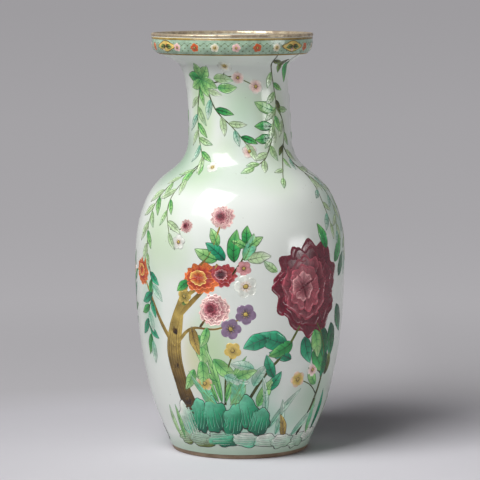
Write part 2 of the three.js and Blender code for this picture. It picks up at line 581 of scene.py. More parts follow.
def open_section(name, low, high, glaze):
    """A glazed ring of wall between two heights."""
    runs = [
        outside(low, high),
        level(outer_radius(high), inner_radius(high), high),
        inside(high, low),
        level(inner_radius(low), outer_radius(low), low),
    ]
    return section(name, runs, glaze, "glazed_porcelain")


def joint_bead(name, height, slip):
    """Slip squeezed out of a luted joint, all that shows of it inside the vase."""
    ring = arc((inner_radius(height), height), (SLIP_BEAD, SLIP_BEAD_HALF_HEIGHT), 0, 360, 17)
    return section(name, [ring], slip, "fired_slip", closed=False)


def bare_foot(biscuit_and_shade):
    """The turned foot: a flat bearing edge with rounded arrises, bare where it was wiped."""
    bare = GLAZE_INSET + 0.6
    bearing_out = RADII[0] - FOOT_BEVEL - bare
    bearing_in = RADII[0] - FOOT_BEVEL - BEARING_WIDTH
    heights = np.linspace(FOOT_BEVEL, SEAT, 6)
    side = np.stack([outline(heights)[0] - bare, heights], -1)
    outer_arris = arc((bearing_out, FOOT_BEVEL), (side[0, 0] - bearing_out, FOOT_BEVEL), -90, 0, 7)
    wall_in = bearing_in - FOOT_BEVEL
    inner_arris = arc((bearing_in, FOOT_BEVEL), (FOOT_BEVEL, FOOT_BEVEL), 180, 270, 7)
    runs = [
        level(bearing_in, bearing_out, 0),
        outer_arris,
        smooth_run(side),
        level(side[-1, 0], wall_in - FOOT_TAPER, SEAT),
        smooth_run([(wall_in - FOOT_TAPER, SEAT), (wall_in, FOOT_BEVEL)]),
        inner_arris,
    ]
    return section("foot_ring_bare", runs, biscuit_and_shade, "bare_foot")


def dressed_lip(lip):
    """The rounded lip, brown with worn gilding, that closes the mouth's edge."""
    out, into = outer_radius(MOUTH), inner_radius(MOUTH)
    a = np.linspace(0, math.pi, 17)
    bulge = LIP_BULGE * np.sin(2 * np.minimum(a, math.pi / 2))
    r = (out + into) / 2 + (out - into) / 2 * np.cos(a) + bulge
    top = smooth_run(np.stack([r, MOUTH + (LIP_HEIGHT - LIP_ROOM) * np.sin(a)], -1))
    runs = [top, level(into, out, MOUTH)]
    return section("lip_dressed", runs, lip, "lip_dressing")


# Painting

# How far the thinnest enamel stands over the glaze, and how far a sheet's edge sinks into it.
THIN = 0.05
SKIRT = -0.3


class Enamel:
    """One painted piece: patches of thin enamel in one material, each a small domed sheet."""

    pieces = []

    def __init__(self, name, slot="outline_enamel"):
        self.pieces.append(self)
        self.name, self.slot = name, slot
        self.points, self.colors, self.faces = [], [], []

    def sheet(self, u, v, lift, tint, at, turn=0.0, size=(1.0, 1.0)):
        """Lays a grid of (u, v) points, right and up in millimetres, round a place on the wall."""
        u, v = u * size[0], v * size[1]
        c, s = math.cos(math.radians(turn)), math.sin(math.radians(turn))
        right, up = u * c - v * s, u * s + v * c
        z = wall_height(wall_distance(at[1]) + up)
        self.lay(math.radians(at[0]) + right / outline(z)[0], z, lift, tint)

    def lay(self, angle, z, lift, tint):
        """Adds a grid at angles and heights, with a skirt round it that sinks into the glaze."""
        angle, z, lift = np.broadcast_arrays(angle, z, lift)
        tint = np.pad(np.broadcast_to(tint, (*z.shape, 3)), ((1, 1), (1, 1), (0, 0)), "edge")
        angle, z = np.pad(angle, 1, "edge"), np.pad(z, 1, "edge")
        lift = np.pad(lift.astype(float), 1, constant_values=SKIRT)
        rows, columns = z.shape
        first = sum(len(p) for p in self.points)
        self.points.append(on_glaze(angle, z, lift).reshape(-1, 3))
        self.colors.append(tint.reshape(-1, 3))
        self.faces.append(first + grid_faces(rows, columns))

    def finish(self):
        """Makes the mesh, facing out, with the tints as its colour attribute."""
        points, faces = np.concatenate(self.points), np.concatenate(self.faces)
        p = points[faces]
        area = np.cross(p[:, 2] - p[:, 0], p[:, 3] - p[:, 1])
        middle = p.mean(1) * (1, 1, 0)
        inward = (area * middle).sum(1) < 0
        faces[inward] = faces[inward][:, ::-1]
        mesh = make_piece(self.name, points, faces.tolist(), ENAMELS[self.slot], self.slot).data
        add_tint(mesh, np.concatenate(self.colors))
        bm = bmesh.new()
        bm.from_mesh(mesh)
        bmesh.ops.dissolve_degenerate(bm, edges=bm.edges, dist=2e-7)
        bm.to_mesh(mesh)
        bm.free()


def dome(*edges, height=0.1):
    """A sheet's rise over its middle, falling to nothing where any edge measure reaches 1."""
    edge = np.maximum.reduce([np.abs(e) for e in np.broadcast_arrays(*edges)])
    return height * (1 - edge**6)


def disc(count):
    """A square grid pressed into a disc of radius 1, and how near its edge each point is."""
    a, b = np.meshgrid(np.linspace(-1, 1, count), np.linspace(-1, 1, count), indexing="ij")
    return a * np.sqrt(1 - b * b / 2), b * np.sqrt(1 - a * a / 2), np.maximum(np.abs(a), np.abs(b))


def curve(points, count):
    """A smooth line of points through the given ones."""
    p = np.array(points, float)
    p = np.vstack([2 * p[0] - p[1], p, 2 * p[-1] - p[-2]])
    at = np.linspace(0, len(p) - 3 - 1e-9, count)
    i = at.astype(int)
    t = (at - i)[:, None]
    a, b, c, d = p[i], p[i + 1], p[i + 2], p[i + 3]
    bow, skew = 2 * a - 5 * b + 4 * c - d, 3 * b - a - 3 * c + d
    return 0.5 * (2 * b + (c - a) * t + bow * t**2 + skew * t**3)


def stroke(
    enamel, points, widths, tint, at, turn=0.0, size=(1.0, 1.0), over=0.1, height=0.05, shade=0.0
):
    """A brush line through points, its widths spread along it, its right side lighter by a shade."""
    points = np.array(points, float)
    square = square_to(points)
    half = np.interp(np.linspace(0, 1, len(points)), np.linspace(0, 1, len(widths)), widths) / 2
    w = np.linspace(-1, 1, 3 if max(widths) < 2 else 5)
    u = points[:, :1] + square[:, :1] * half[:, None] * w
    v = points[:, 1:] + square[:, 1:] * half[:, None] * w
    color = np.broadcast_to(tint, (len(points), 3))[:, None] * (1 + shade * w)[:, None]
    enamel.sheet(u, v, over + height * (1 - w**2) + 0 * u, color, at, turn, size)


def leaf(enamel, lines, at, length, width, turn, paints, bend, veins, over=THIN):
    """A pointed leaf that grows from a place, with a dark midrib and side veins."""
    t, w = np.linspace(0, 1, 17)[:, None], np.linspace(-1, 1, 7)[None]

    def place(t, w):
        half = width / 2 * np.sin(math.pi * np.clip(t, 0, 1) ** 0.82) ** 0.85
        ripple = 1 + 0.05 * np.sin(13 * t + w)
        return bend * length * t**2 + w * half * ripple, length * t - 2 * bend * w * half * t

    u, v = place(t, w)
    side = 1 + 0.16 * np.tanh(3 * w)
    color = tints(paints, 0.75 * t + 0.25 * np.abs(w)) * side[..., None]
    enamel.sheet(u, v, over + dome(w, 2 * t - 1), color, at, turn)
    ink = PAINT[paints[0]] * 0.45
    ribs = [(np.linspace(0.02, 0.96, 9), np.zeros(9), (0.9, 0.35))]
    ribs += [(np.linspace(0, 1, 17), np.full(17, 0.97 * side), (0.3, 0.55, 0.3)) for side in (-1, 1)]
    for k in range(veins):
        start = 0.12 + 0.68 * k / veins
        for side in (-1, 1):
            ribs.append((start + np.linspace(0, 0.13, 4), side * np.linspace(0, 0.82, 4), (0.5, 0.25)))
    for t_line, w_line, widths in ribs:
        points = np.stack(place(t_line, w_line), -1)
        lift = over + (0.03 if abs(w_line[-1]) > 0.9 else 0.105)
        stroke(lines, points, widths, ink, at, turn, over=lift, height=0.03)


# How far a bloom's heart lies off its middle, as a share of its radius.
HEART_SHIFT = np.array((-0.3, 0.1))


def bloom(enamel, lines, at, radius, rings, seed, turn, size):
    """A flower of petal rings from the outside in: (count, inner, outer, half angle, paints)."""
    draw = random.Random(seed)
    t, w = np.linspace(0, 1, 8)[:, None], np.linspace(-1, 1, 17)[None]
    step = 0.27 / sum(ring[0] for ring in rings)
    lift = 0.06
    x, y, _ = np.array(disc(9)) * 0.35 * radius
    u, v = HEART_SHIFT * radius * (1 - rings[-1][2])
    enamel.sheet(u + x, v + y, lift + 0 * x, tints(rings[-1][4], 0.0), at, turn, size)
    for count, r_in, r_out, half, paints in rings:
        offset = draw.random()
        right, up = HEART_SHIFT * radius * (1 - r_out)
        for i in range(count):
            middle = TAU * (i + offset + draw.uniform(-0.12, 0.12)) / count
            reach = radius * r_out * draw.uniform(0.9, 1.06)
            phase = draw.uniform(0, TAU)

            def place(t, w):
                ruffle = 0.06 * np.cos(6 * w + phase)
                edge = 1 - 0.08 * w**2 + ruffle - 0.07 * np.exp(-((w / 0.2) ** 2))
                r = radius * r_in + (reach * edge - radius * r_in) * t
                a = middle + np.radians(half) * w * (0.5 + 0.5 * t**0.7)
                return right + r * np.cos(a), up + r * np.sin(a)

            u, v = place(t, w)
            color = tints(paints, t - 0.15 * np.abs(w) * t) * draw.uniform(0.85, 1.1)
            color[-1] *= 1.45
            lift += step
            enamel.sheet(u, v, lift + dome(w, 2 * t - 1, height=0.01), color, at, turn, size)
            for fold in (-0.55, -0.2, 0.15, 0.5):
                t_line = np.linspace(0.15, 0.86, 6)
                points = np.stack(place(t_line, np.full(6, fold) * (0.7 + 0.3 * t_line)), -1)
                ink = tints(paints, 0.1) * 0.6
                stroke(lines, points, (0.25, 0.45, 0.2), ink, at, turn, size, lift + 0.012, 0.008)


def blob(enamel, lines, at, reach, paints, seed, turn=0.0, size=(1.0, 1.0), over=THIN):
    """A rounded lobed patch, darker at the bottom, with a dark outline."""
    draw = random.Random(seed)
    waves = [(n, draw.uniform(0.03, 0.1), draw.uniform(0, TAU)) for n in (2, 3, 5, 8)]

    def radius(a):
        return reach * (1 + sum(depth * np.cos(n * a + phase) for n, depth, phase in waves))

    x, y, edge = disc(11)
    r = radius(np.arctan2(y, x))
    color = tints(paints, np.clip(0.5 + 0.55 * y - 0.3 * x, 0, 1))
    enamel.sheet(x * r, y * r, over + dome(edge), color, at, turn, size)
    ring = np.linspace(0, TAU, 41)
    points = np.stack([radius(ring) * np.cos(ring), radius(ring) * np.sin(ring)], -1) * 0.985
    stroke(lines, points, (0.8, 0.4, 0.9, 0.5), PAINT["ink"], at, turn, size, over + 0.03, 0.05)


def band(enamel, low, high, paints, over=THIN, rows=16):
    """A ring of colour right round the vase between two heights."""
    angle = np.linspace(-math.pi, math.pi, 361)[None]
    color = tints(paints, np.linspace(0, 1, rows))[:, None]
    enamel.lay(angle, np.linspace(low, high, rows)[:, None], over, color)


def twig(enamel, places, widths, paints, over=THIN):
    """A branch through (angle, height) places on the wall."""
    at = places[0]
    angles, heights = np.array(places, float).T
    u = np.radians(angles - at[0]) * outline(heights)[0]
    v = wall_distance(heights) - wall_distance(at[1])
    count = 8 * len(places)
    points = curve(np.stack([u, v], -1), count)
    t = np.linspace(0, 1, count)
    color = tints(paints, t) * (1 + 0.12 * np.sin(40 * t))[:, None]
    stroke(enamel, points, widths, color, at, over=over, height=0.12, shade=0.2)


# Pieces

glaze, biscuit_and_shade, lip, slip = glaze_material(), biscuit_and_shade_material(), lip_material(), slip_material()
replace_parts(bare_foot(biscuit_and_shade), "foot_ring", "foot_joint_slip")
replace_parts(lower_section(glaze), "lower_body")
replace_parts(open_section("upper_body_glazed", BELLY, NECK_BASE, glaze), "upper_body")
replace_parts(open_section("neck_and_mouth_glazed", NECK_BASE, MOUTH, glaze), "neck_and_mouth")
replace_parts(joint_bead("belly_joint_bead", BELLY, slip), "belly_joint_slip")
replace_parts(joint_bead("neck_joint_bead", NECK_BASE, slip), "neck_joint_slip")
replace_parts(dressed_lip(lip), "lip_dressing")


# The painting

# The material of each enamel slot.
ENAMELS = {
    "green_enamel": enamel_material("green_enamel", 0.08, 0.2),
    "rose_enamel": enamel_material("rose_enamel", 0.16, 0.32),
    "red_enamel": enamel_material("iron_red_enamel", 0.28, 0.45),
    "ochre_enamel": enamel_material("ochre_enamel", 0.14, 0.3),
    "outline_enamel": enamel_material("outline_enamel", 0.3, 0.5, 0.1),
}


def leaves(name, *table):
    """Leaves from rows of angle, height, length, width, turn and paint, with their veins."""
    body, veins = Enamel(name, "green_enamel"), Enamel(name + "_veins")
    for i, (angle, z, length, width, lean, paint) in enumerate(table):
        bend = (0.16, -0.14, 0.22, -0.2)[i % 4]
        count = 3 if length > 14 else 1
        over = THIN + 0.02 * (i % 5)
        leaf(body, veins, (angle, z), length, width, lean, LEAF_PAINTS[paint], bend, count, over)


def blossom(petals, hearts, at, radius, paints, seed):
    """A small open flower: five round petals, and a heart with stamens."""
    start = random.Random(seed).uniform(0, 360)
    x, y, edge = disc(7)
    u, v, color = radius * (0.52 + 0.46 * x), radius * 0.46 * y, tints(paints, 0.5 + 0.5 * x)
    for i in range(5):
        petals.sheet(u, v, 0.06 + 0.012 * i + dome(edge), color, at, start + 72 * i)
    blob(hearts, hearts, at, radius * 0.2, ("ochre", "yellow"), seed, over=0.2)
    stamen = [(radius * reach, 0) for reach in (0.22, 0.32, 0.42)]
    for lean in range(0, 360, 40):
        stroke(hearts, stamen, (0.35, 0.3), PAINT["ochre"], at, lean, over=0.19)


# Rings of petals from the outside in: count, inner and outer radius factors and half angle.
FULL = (
    (9, 0.45, 1.0, 27), (8, 0.34, 0.84, 30), (7, 0.22, 0.66, 33), (6, 0.1, 0.48, 36), (4, 0.0, 0.3, 42),
)
OPEN = ((8, 0.4, 1.0, 28), (7, 0.25, 0.76, 32), (5, 0.0, 0.5, 40))
# The paints of each kind of flower, ring by ring.
CRIMSON_PEONY = (
    ("crimson deep", "crimson deep", "crimson", "crimson"),
    ("crimson deep", "crimson", "crimson", "crimson"),
    ("crimson deep", "crimson", "rose"),
    ("crimson", "rose", "rose"),
    ("crimson", "rose", "pink"),
)
PINK_PEONY = (
    ("rose", "pink", "blush"),
    ("rose", "pink", "blush"),
    ("crimson", "rose", "pink", "blush"),
    ("crimson", "rose", "pink"),
    ("crimson", "crimson", "rose"),
)
RED_BLOOM = (("crimson", "red", "rose"), ("crimson", "red", "rose"), ("crimson deep", "crimson", "pink"))
ORANGE_BLOOM = (("red", "orange", "orange"), ("red", "red", "orange"), ("red", "orange", "yellow"))


def flower(name, slot, shape, paints, *places):
    """Big blooms from rows of angle, height, radius, turn, width, height factors and seed."""
    rings = [(*ring, tones) for ring, tones in zip(shape, paints)]
    body, folds = Enamel(name, slot), Enamel(name + "_folds")
    for angle, z, radius, lean, wide, tall, seed in places:
        bloom(body, folds, (angle, z), radius, rings, seed, lean, (wide, tall))


def sprays(name, seed, *table):
    """Stems with leaves on either side, from rows of places, leaf count, length, width, paints."""
    body, stems = Enamel(name, "green_enamel"), Enamel(name + "_stems")
    draw = random.Random(seed)
    for places, count, length, width, paints in table:
        twig(stems, places, (1.6, 1.2, 0.8), STEM, over=0.06)
        line = curve(places, 40)
        for i in range(count):
            at = 0.1 + 0.9 * i / max(count - 1, 1)
            k = min(int(at * 39), 38)
            rise = wall_distance(line[k + 1, 1]) - wall_distance(line[k, 1])
            across = math.radians(line[k + 1, 0] - line[k, 0]) * float(outline(line[k, 1])[0])
            heading = math.degrees(math.atan2(-across, rise))
            side = 0 if i == count - 1 else (38 + draw.uniform(-10, 12)) * (-1) ** i
            size = draw.uniform(0.8, 1.1)
            bend, veins, over = draw.uniform(-0.2, 0.2), 3 if length > 14 else 1, 0.06 + 0.025 * (i % 4)
            tones, lean = LEAF_PAINTS[paints[i % len(paints)]], heading + side
            leaf(body, stems, line[k], length * size, width * size, lean, tones, bend, veins, over)


def rocks(name, slot, *table):
    """Rocks, the big ones ridged: angle, height, reach, width and height factors, turn, paints."""
    body, edges = Enamel(name, slot), Enamel(name + "_edges")
    for i, (angle, z, reach, wide, tall, lean, paints) in enumerate(table):
        over = THIN + 0.03 * (i % 6)
        blob(body, edges, (angle, z), reach, paints, 40 + i, lean, (wide, tall), over)
        if reach < 6:
            continue
        draw = random.Random(300 + i)
        dark, pale = PAINT[paints[0]] * 0.5, PAINT[paints[-1]]
        for k in range(-2, 3):
            across = [0.3 * k + draw.uniform(-0.07, 0.07) for _ in range(4)]
            low, high = draw.uniform(-0.85, -0.6), draw.uniform(0.1, 0.7)
            along = np.linspace(low, high, 4) * (1 - 0.12 * abs(k))
            ridge = curve(np.stack([across, along] if tall > wide else [along, across], -1), 13) * reach
            for shift, tint in ((0, dark), (0.55, pale)):
                points = ridge + (shift / wide, -shift / tall)
                stroke(edges, points, (0.7, 0.5, 0.2), tint, (angle, z), lean, (wide, tall), over + 0.105)


def branches(name, *table):
    """Branches from rows of places, widths and paints, with bark lines on the thick ones."""
    body = Enamel(name, "ochre_enamel")
    for places, widths, paints in table:
        twig(body, places, widths, paints)
        for k in range(5 if max(widths) > 8 else 0):
            shift = (k - 2) * widths[0] * 0.075
            line = curve([(a + shift + 0.4 * math.sin(7 * k + z), z) for a, z in places], 12)
            twig(body, line[1 + k % 2 : 10 - k % 3].tolist(), (0.3, 0.6, 0.3), BARK[:2], 0.15)


def plum_blossoms(name, *table):
    """Five-petalled blossoms from rows of angle, height, radius and paints."""
    petals, hearts = Enamel(name, "rose_enamel"), Enamel(name + "_hearts", "ochre_enamel")
    for i, (angle, z, radius, paints) in enumerate(table):
        blossom(petals, hearts, (angle, z), radius, paints, 70 + i)


def mouth_border():
    """A lattice border on the mouth's upright band, with florets and four-lobed panels."""
    ground, lines = Enamel("border_ground", "green_enamel"), Enamel("border_lines", "ochre_enamel")
    dots = Enamel("border_florets", "rose_enamel")
    low, high = DISH - 2, MOUTH - 1.5
    band(ground, low, high, ("sage", "sage", "sage"))
    band(lines, high - 1.2, high + 1, ("brown", "ochre"), over=0.1, rows=3)
    band(lines, low - 1.4, low, ("ochre", "brown"), over=0.1, rows=3)
    cells, florets = 72, 24
    z = np.linspace(low + 1, high - 3, 5)
    for i in range(cells):
        for way in (-1, 1):
            angle = way * np.linspace(0, TAU / cells * 2, 5)
            points = np.stack([angle * RADII[-1], z - z[0]], -1)
            place = (360 * i / cells, z[0])
            stroke(lines, points, (0.5, 0.5), PAINT["olive"] * 0.6, place, over=0.07)
    for i in range(florets):
        angle = 360 * i / florets + 3
        paint = (("pink", "blush"), ("red", "orange"), ("yellow", "white"))[i % 3]
        blossom(dots, lines, (angle, (low + high) / 2 - 1), 4.6, paint, 90 + i)
    x, y, _ = disc(21)
    lobed = 1 + 0.1 * np.cos(4 * np.arctan2(y, x)) * np.hypot(x, y) ** 4
    x, y = 13.5 * x * lobed, 5.4 * y * lobed
    for angle in (-54, 48, 123, 198, -129):
        panel = (angle, (low + high) / 2)
        dots.sheet(x, y, 0.16, PAINT["brown"], panel)
        dots.sheet(x * 0.92, y * 0.86, 0.19, PAINT["yellow"], panel)
        for side in (-1, 1):
            leaf(dots, lines, panel, 9.5, 4.4, -90 * side, LEAF_PAINTS["o"], 0.1 * side, 1, 0.2)
        blossom(dots, lines, panel, 4.2, ("red", "orange", "yellow"), 60)


def butterfly(name, at, turn):
    """A butterfly: four wings, a body and feelers."""
    wings, lines = Enamel(name + "_wings", "ochre_enamel"), Enamel(name)
    for side in (-1, 1):
        for lean, length, width, paints in (
            (-52, 24, 17, ("brown", "yellow", "white")),
            (-118, 17, 14, ("red", "orange", "yellow")),
        ):
            leaf(wings, lines, at, length, width, turn + side * lean, paints, 0.1 * side, 3)
    blob(lines, lines, at, 2.2, ("ink", "brown"), 3, turn, (1, 3.4), 0.2)
    for side in (-1, 1):
        points = [(0.4 * side, 6), (2 * side, 11), (5 * side, 14)]
        stroke(lines, curve(points, 9), (0.6, 0.3), PAINT["ink"], at, turn, over=0.1)


branches(
    "trunk_and_stems",
    (((-31, 46), (-37, 80), (-40, 112), (-37, 140), (-32, 170)), (21, 16, 19, 16, 7), BARK),
    (((-36, 148), (-26, 166), (-18, 182), (-12, 204)), (6, 5, 3.4, 2.4), LIMB),
    (((-39, 118), (-48, 140), (-56, 165), (-64, 186)), (6, 4.4, 3.2, 2), LIMB),
    (((-32, 168), (-27, 190), (-16, 215), (-10, 246)), (4.4, 3.2, 2.4, 1.8), LIMB),
    (((2, 56), (14, 90), (26, 115), (36, 145)), (3.4, 3, 2.6, 2.4), STEM),
    (((46, 22), (54, 60), (57, 90), (53, 122), (44, 148)), (3.8, 3.4, 3, 2.6, 2.4), STEM),
    (((-37, 122), (-27, 138), (-12, 139), (3, 152)), (4, 2.8, 2, 1.4), LIMB),
    (((-22, 140), (-18, 150), (-14, 156)), (2.6, 2, 1.6), BARK),
    (((-9, 60), (-8, 90), (-4, 114)), (2.4, 2, 1.4), STEM),
    (((0, 186), (3, 182), (6, 176)), (1.6, 1.4, 1.2), STEM),
    (((-4, 194), (1, 208), (4, 222)), (2.2, 1.6, 1.2), STEM),
    (((-32, 168), (-24, 178), (-16, 186), (-6, 192)), (5, 4, 3, 2), LIMB),
    (((172, 40), (164, 86), (171, 130), (156, 172)), (18, 14, 10, 5), BARK),
    (((168, 118), (184, 146), (196, 186), (190, 228)), (7, 5, 3.4, 2), LIMB),
    (((165, 100), (150, 118), (136, 150), (128, 184)), (6, 4.4, 3, 2), LIMB),
    (((-98, 22), (-104, 110), (-100, 180), (-108, 250)), (4.5, 3.8, 3, 2), STEM),
    (((-112, 22), (-118, 96), (-126, 160)), (4, 3.2, 2), STEM),
    (((-40, 384), (-24, 381), (-8, 387), (6, 384), (21, 377)), (1.6, 1.3, 1), STEM),
    (((-14, 386), (-12, 391), (-10, 397)), (1.1, 0.9, 0.8), STEM),
    (((-42, 236), (-36, 236), (-31, 240)), (1.2, 1, 0.8), STEM),
    (((55, 64), (47, 76), (37, 84)), (1.5, 1.2, 0.9), STEM),
    (((57, 84), (52, 90), (47, 92)), (1.3, 1.1, 0.9), STEM),
    (((60, 413), (61, 406), (64, 401)), (1.8, 1.5, 1.2), STEM),
)
rocks(
    "knots_on_the_trunks", "ochre_enamel",
    (-39, 98, 3.4, 1, 1.3, 0, KNOT), (-38, 134, 3, 1, 1.4, 10, KNOT), (-34, 62, 3.6, 1, 1.2, -10, KNOT),
    (167, 74, 3.2, 1, 1.3, 0, KNOT),
)
rocks(
    "rocks_at_the_foot", "green_enamel",
    (-37, 40, 12, 0.9, 1.9, 8, ("sage", "turquoise", "celadon", "white")),
    (-27, 46, 13, 0.9, 1.55, -12, TEAL), (-16, 47, 14, 0.95, 1.55, 6, TEAL),
    (-4, 43, 13, 0.9, 1.5, -8, TEAL), (6, 51, 12, 0.9, 1.6, 14, TEAL), (13, 41, 12, 1, 1.3, -6, TEAL),
    (-43, 21, 10, 1.3, 0.8, 10, ("olive", "sage", "pale green")),
    (-30, 20, 11, 1.4, 0.8, -4, ("olive", "sage", "celadon")), (-12, 22, 12, 1.5, 0.8, 4, STONE),
    (5, 22, 11, 1.5, 0.8, -5, SEA), (20, 20, 10, 1.4, 0.8, 0, CHALK), (33, 18, 10, 1.4, 0.8, 0, CHALK),
    (46, 17, 11, 1.3, 0.9, 0, CHALK), (62, 20, 10, 1.2, 0.8, 0, ("celadon", "white", "white")),
    (146, 22, 14, 1.1, 0.9, 0, STONE), (160, 24, 15, 1, 1, 0, STONE),
    (172, 20, 14, 1.2, 0.9, 0, FOREST), (166, 44, 14, 1, 1, 20, STONE),
    (180, 40, 14, 1, 1, 0, ("teal deep", "teal deep", "teal")), (188, 20, 13, 1.1, 0.9, 0, STONE),
    (200, 18, 11, 1.3, 0.8, 0, ("aubergine", "teal deep", "celadon")),
    (-112, 18, 12, 1.3, 0.9, 0, STONE), (-98, 20, 13, 1, 1, 0, FOREST),
    (-86, 17, 10, 1.3, 0.8, 0, ("teal deep", "sage", "celadon")), (86, 17, 10, 1.4, 0.8, 0, STONE),
)
leaves(
    "grasses",
    (-13, 62, 58, 6, 26, "l"), (-11, 62, 64, 7, 8, "l"), (-9, 62, 54, 7, -12, "l"),
    (-6, 60, 50, 7, -34, "b"), (-15, 60, 44, 6, 48, "b"), (-18, 58, 34, 14, 10, "b"),
    (-3, 56, 38, 14, -4, "b"), (3, 60, 34, 12, 22, "b"), (11, 58, 34, 12, -18, "l"),
    (16, 46, 46, 7, -2, "c"), (20, 34, 52, 7, -26, "c"), (26, 26, 40, 8, -14, "c"),
    (40, 22, 44, 9, -34, "c"), (34, 20, 34, 8, 12, "y"), (58, 22, 40, 7, 18, "b"),
    (64, 24, 46, 8, -10, "t"), (-50, 20, 36, 6, 14, "p"), (-46, 18, 40, 6, -8, "l"),
    (84, 18, 40, 6, 12, "p"), (88, 18, 48, 6, -12, "l"), (130, 18, 50, 6, 16, "g"),
    (134, 18, 56, 6, -8, "l"), (210, 16, 48, 6, -16, "g"), (207, 16, 56, 6, 6, "p"),
    (-128, 16, 44, 6, 12, "l"),
)
leaves(
    "lower_leaves",
    (-23, 132, 34, 14, -165, "l"), (-15, 108, 32, 14, -140, "l"), (-22, 106, 30, 13, 190, "l"),
    (-9, 92, 26, 13, -120, "c"), (-3, 88, 24, 12, -60, "l"), (-12, 84, 26, 12, 70, "l"),
    (8, 80, 26, 12, -20, "c"), (15, 74, 26, 11, -50, "t"), (20, 88, 26, 11, 30, "t"),
    (8, 98, 24, 11, 70, "c"), (52, 76, 24, 11, 50, "l"), (60, 84, 26, 12, -20, "o"),
    (-27, 96, 26, 10, 160, "l"), (-27, 140, 30, 11, 186, "y"), (-18, 140, 22, 9, 172, "l"),
    (30, 106, 26, 12, 60, "t"),
)
leaves(
    "peony_leaves",
    (27, 122, 34, 20, 78, "t"), (16, 130, 28, 17, 105, "t"), (30, 124, 28, 15, 130, "g"),
    (38, 128, 30, 15, 190, "t"), (45, 134, 32, 16, 205, "l"), (52, 136, 38, 18, -170, "d"),
    (60, 138, 38, 17, -160, "d"), (46, 114, 34, 17, 208, "g"), (58, 108, 26, 13, 180, "d"),
    (66, 156, 34, 16, -160, "d"), (68, 184, 28, 13, -20, "d"), (62, 200, 34, 14, -45, "g"),
    (20, 196, 18, 8, 60, "p"), (54, 215, 28, 12, 14, "g"),
)
flower("crimson_peony", "rose_enamel", FULL, CRIMSON_PEONY, (40.8, 177, 43, 12, 0.99, 1.18, 61))
flower(
    "red_bloom", "red_enamel", OPEN, RED_BLOOM,
    (-9, 193, 12, 0, 1.2, 0.95, 21), (236, 160, 15, 0, 1, 1, 22),
)
flower(
    "orange_blooms", "red_enamel", OPEN, ORANGE_BLOOM,
    (-21, 189, 16, 0, 1.25, 1.0, 8), (-66, 190, 13, 0, 1.1, 1.1, 9), (128, 196, 15, 0, 1, 1, 10),
    (-108, 256, 12, 0, 1, 1, 23),
)
leaves(
    "leaves_over_the_blooms",
    (-12, 208, 26, 13, 76, "l"), (-8, 208, 26, 13, 42, "t"), (-3, 206, 32, 14, 8, "g"),
    (2, 208, 28, 12, -32, "b"), (4, 208, 24, 12, -72, "w"), (-12, 221, 20, 10, 15, "l"),
    (4, 223, 19, 10, 12, "g"), (3, 221, 17, 9, 58, "l"), (4, 220, 19, 9, -46, "l"),
    (-28, 186, 18, 9, 120, "g"), (-29, 176, 20, 10, 160, "o"),
)
flower(
    "pink_blooms", "rose_enamel", FULL, PINK_PEONY,
    (-10, 250, 12, 0, 1, 1.05, 11), (-14, 158, 15, 0, 1.1, 1.1, 12), (-31, 240, 7, 0, 1, 1, 13),
    (152, 190, 37, 0, 1, 1, 14), (190, 240, 14, 0, 1, 1, 15), (178, 352, 12, 0, 1, 1, 16),
    (-128, 168, 14, 0, 1, 1, 17),
)
mouth_border()
leaves(
    "neck_leaves",
    (-42, 384, 18, 11, 12, "l"), (-42, 384, 19, 11, 72, "g"), (-42, 384, 18, 11, 132, "l"),
    (-42, 384, 19, 11, -168, "l"), (-42, 384, 20, 11, -108, "l"), (-42, 384, 19, 11, -48, "l"),
    (-25, 385, 20, 10, -84, "p"), (-22, 376, 20, 10, -100, "l"), (42, 352, 24, 12, 76, "l"),
    (38, 336, 20, 10, 80, "g"), (36, 326, 18, 10, 110, "g"), (58, 404, 20, 10, 150, "o"),
    (64, 402, 25, 11, -170, "g"),
)
sprays(
    "neck_sprays", 31,
    (((-44, 382), (-53, 352), (-52, 326), (-42, 304)), 10, 22, 7, "lwpc"),
    (((-38, 380), (-27, 354), (-8, 336), (8, 318)), 8, 19, 7, "wcgw"),
    (((36, 411), (44, 380), (46, 358), (40, 338)), 8, 18, 7, "oplp"),
    (((40, 338), (36, 320), (26, 304), (12, 296)), 7, 17, 7, "wppw"),
    (((46, 360), (58, 334), (50, 306), (34, 284)), 7, 17, 6, "pwpo"),
    (((120, 320), (140, 340), (160, 350), (178, 352)), 9, 20, 8, "gtlg"),
    (((178, 352), (192, 370), (204, 388)), 7, 18, 8, "tgl"),
    (((100, 300), (96, 330), (104, 360)), 8, 20, 7, "lpl"),
    (((-100, 310), (-96, 340), (-106, 372)), 8, 20, 7, "lpl"),
)
sprays(
    "shoulder_sprays", 32,
    (((-39, 306), (-45, 284), (-48, 258), (-42, 230)), 8, 22, 7, "lpww"),
    (((-42, 298), (-58, 274), (-63, 246), (-60, 206)), 11, 22, 8, "lwpw"),
    (((-58, 196), (-55, 172), (-60, 146), (-58, 118)), 11, 22, 9, "tgct"),
    (((54, 318), (66, 290), (74, 258), (68, 228)), 10, 18, 6, "wcww"),
    (((62, 298), (84, 270), (85, 234), (80, 200)), 10, 20, 7, "wcwp"),
    (((66, 288), (60, 262), (62, 238)), 5, 18, 7, "wc"),
    (((126, 200), (118, 224), (124, 250)), 8, 20, 9, "gtl"),
    (((190, 236), (204, 250), (222, 254)), 8, 20, 8, "glt"),
    (((-98, 120), (-88, 150), (-84, 186)), 9, 24, 8, "gtlg"),
    (((-102, 190), (-114, 214), (-122, 240)), 9, 24, 8, "lgpl"),
    (((-104, 100), (-120, 120), (-134, 132)), 8, 24, 8, "tgl"),
    (((140, 140), (132, 118), (120, 104)), 8, 22, 10, "tgd"),
    (((184, 150), (200, 140), (214, 120)), 8, 22, 10, "tgd"),
)
